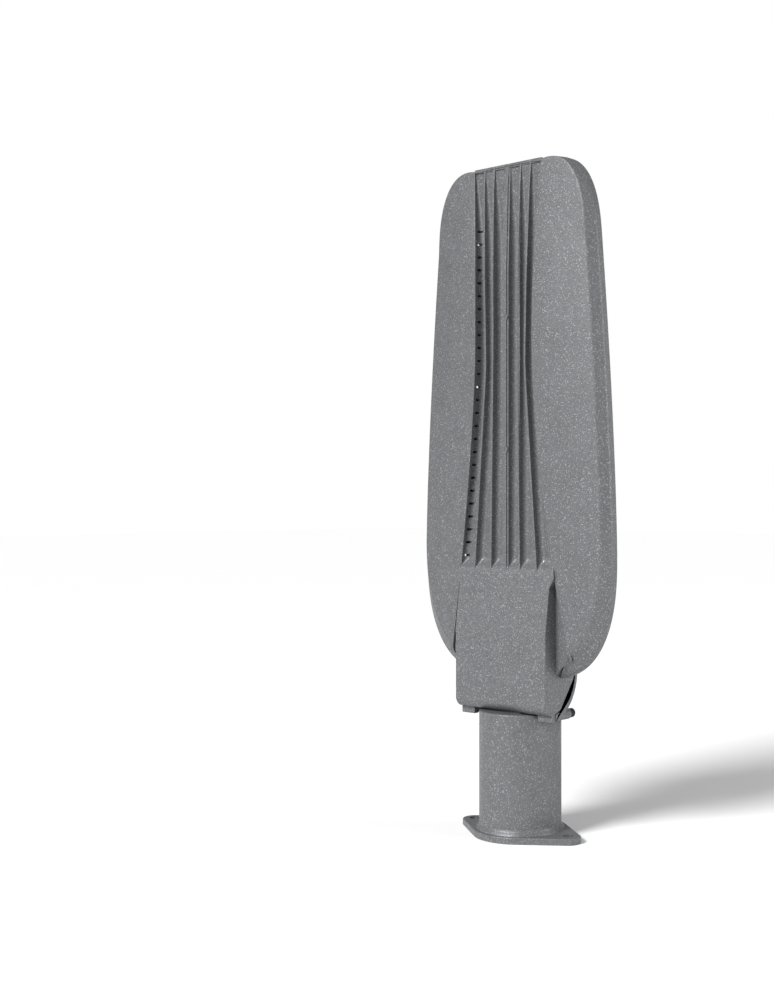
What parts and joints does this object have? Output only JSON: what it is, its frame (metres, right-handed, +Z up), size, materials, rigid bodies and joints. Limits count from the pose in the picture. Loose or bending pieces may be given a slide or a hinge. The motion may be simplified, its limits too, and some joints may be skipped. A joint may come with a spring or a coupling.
{
  "type": "street lamp head",
  "caption": "Pole-top street lamp head: finned die-cast back, light boards under lens plates, driver box with hinged cover, tilting pole spigot with a bolted flange.",
  "frame": {"origin": "centre of the flange's underside, on the axis of the spigot", "axes": "+Z up the spigot to the tip of the head, -Y towards the finned back, +Y towards the side that gives light, +X across the head"},
  "size_m": [0.198, 0.079, 0.551],
  "materials": {
    "spigot_coat": "grey hammered powder coat",
    "head_coat": "grey hammered powder coat",
    "seal": "grey silicone",
    "steel": "stainless",
    "board": "white solder mask on aluminium",
    "phosphor": "yellow phosphor",
    "pad": "soft gap filler",
    "lens": "clear moulded polycarbonate",
    "white_plastic": "moulded",
    "red_wire": "insulation",
    "brown_wire": "insulation",
    "black_plastic": "moulded nylon",
    "blue_plastic": "moulded",
    "driver_case": "anodised",
    "brass": "turned",
    "black_steel": "black oxide",
    "rubber": "moulded"
  },
  "bodies": {
    "base": {"spigot": "spigot_coat"},
    "head": {"housing": "head_coat", "front_frame": "head_coat", "frame_gasket": "seal", "frame_screws": "steel", "led_board_upper": "board", "led_board_lower": "board", "led_chips_upper": "phosphor", "led_chips_lower": "phosphor", "thermal_pads": "pad", "lens_upper": "lens", "lens_lower": "lens", "lens_gaskets": "seal", "board_connectors": "white_plastic", "board_jumper_leads": "red_wire", "lead_positive": "red_wire", "lead_negative": "black_plastic", "gear_tray": "steel", "tray_screws": "steel", "driver": "driver_case", "driver_screws": "steel", "driver_input_leads": "brown_wire", "terminal_block": "white_plastic", "terminal_screws": "steel", "surge_protector": "blue_plastic", "cable_gland": "black_plastic", "gland_nut": "black_plastic", "cable_clamp": "black_plastic", "clamp_screws": "steel", "earth_screw": "brass", "breather_vent": "black_plastic", "pivot_bolt": "steel", "pivot_nut": "steel", "pivot_washers": "steel", "toothed_plates": "steel", "hinge_pins": "steel", "screw_inserts": "brass"},
    "cover": {"cover": "head_coat", "cover_gasket": "seal", "screw_washers": "rubber"},
    "cover_screw_left": {"cover_screw_left": "black_steel"},
    "cover_screw_right": {"cover_screw_right": "black_steel"}
  },
  "joints": [
    {"name": "tilt", "type": "hinge", "parent": "base", "child": "head", "pos_m": [0, -0.006, 0.128], "axis": [-1, 0, 0], "range_deg": [0, 15]},
    {"name": "cover_hinge", "type": "hinge", "parent": "head", "child": "cover", "pos_m": [0, 0.0122, 0.2293], "axis": [1, 0, 0], "range_deg": [0, 100]},
    {"name": "screw_left_turn", "type": "hinge", "parent": "cover", "child": "cover_screw_left", "pos_m": [-0.04, 0, 0.1015], "axis": [0, 1, 0], "continuous": true},
    {"name": "screw_right_turn", "type": "hinge", "parent": "cover", "child": "cover_screw_right", "pos_m": [0.04, 0, 0.1015], "axis": [0, 1, 0], "continuous": true}
  ]
}
